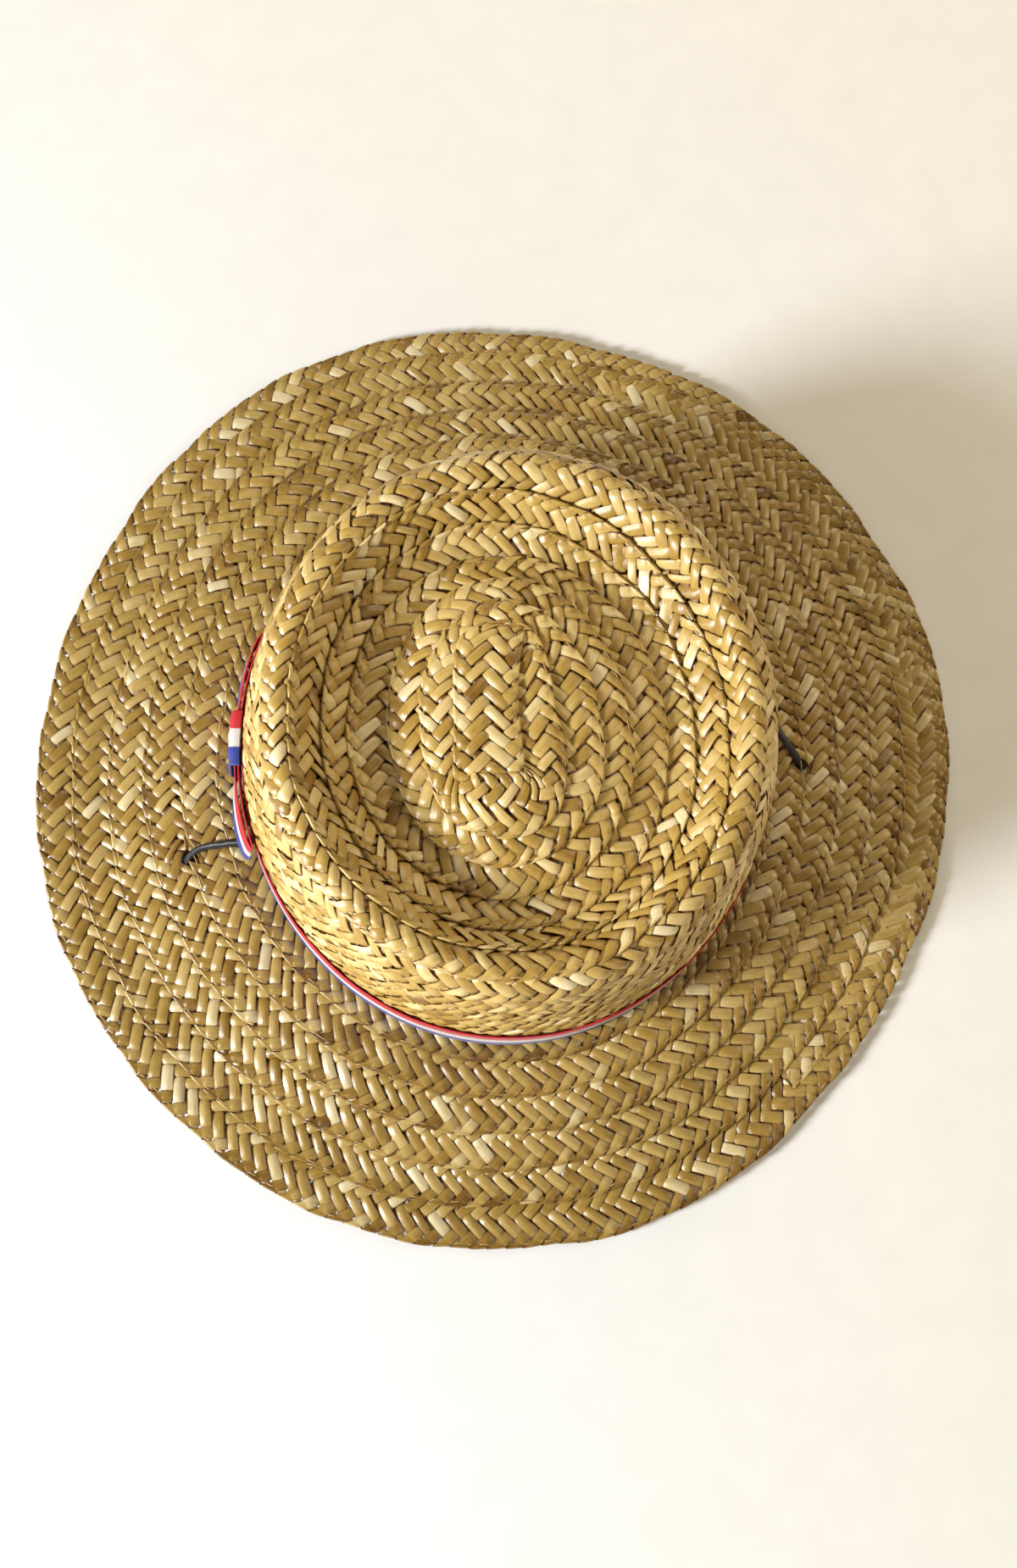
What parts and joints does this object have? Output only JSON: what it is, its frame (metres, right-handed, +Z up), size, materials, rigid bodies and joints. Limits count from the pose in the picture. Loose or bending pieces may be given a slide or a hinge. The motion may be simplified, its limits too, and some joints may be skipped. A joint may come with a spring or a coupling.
{
  "type": "straw hat",
  "caption": "Plaited-straw hat with a telescope crown, a flat brim, a striped ribbon band with a flat side bow, and a thin black chin cord laid under it.",
  "frame": {"origin": "middle of the hat's outline on the surface that it stands on, at the height of the brim's underside", "axes": "+Z up; +Y towards the front of the hat; +X towards the wearer's right, so the bow is on -X"},
  "size_m": [0.3317, 0.3382, 0.085],
  "materials": {
    "straw": "natural wheat straw, plaited and sewn, satin with fine grain",
    "ribbon": "woven ribbon in equal red, white and blue stripes, soft sheen",
    "cord": "smooth black round cord, slight gloss"
  },
  "bodies": {
    "root": {"crown": "straw", "brim": "straw", "hat_band": "ribbon", "bow_loop_front": "ribbon", "bow_loop_back": "ribbon", "bow_knot": "ribbon", "chin_cord": "cord"}
  },
  "joints": []
}
